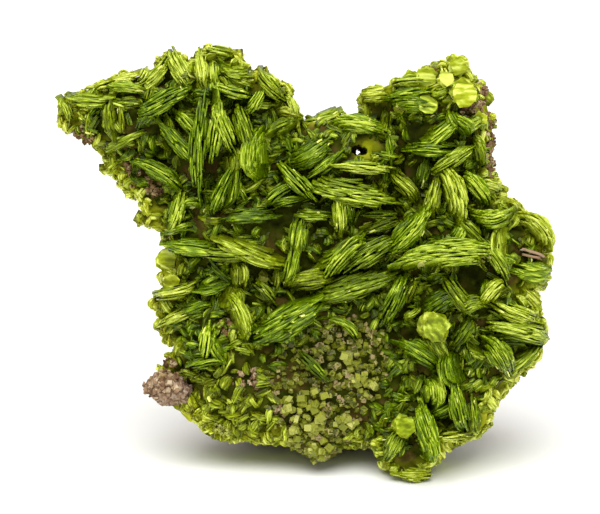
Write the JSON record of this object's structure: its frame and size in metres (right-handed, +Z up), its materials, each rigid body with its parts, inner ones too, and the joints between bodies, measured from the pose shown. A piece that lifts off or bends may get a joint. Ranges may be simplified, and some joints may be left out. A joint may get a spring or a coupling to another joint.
{
  "type": "meta-autunite mineral specimen",
  "caption": "Free-standing mineral specimen: curved books and fans of green tabular crystals with a pale druse on a piece of weathered granite.",
  "frame": {"origin": "middle of the specimen's box, at the surface that it stands on", "axes": "+Z up, -Y towards the viewer of the crystal face, +X to that viewer's right"},
  "size_m": [0.0496, 0.0238, 0.0411],
  "materials": {
    "granite": "rough weathered granite, pinkish brown with grey and orange grains",
    "green_crystal": "vitreous to pearly translucent grass-green plates with finely striated edges",
    "pale_druse": "sparkling pale yellow-green crystal grains"
  },
  "bodies": {
    "root": {"matrix": "granite", "crystals": "green_crystal", "druse": "pale_druse"}
  },
  "joints": []
}
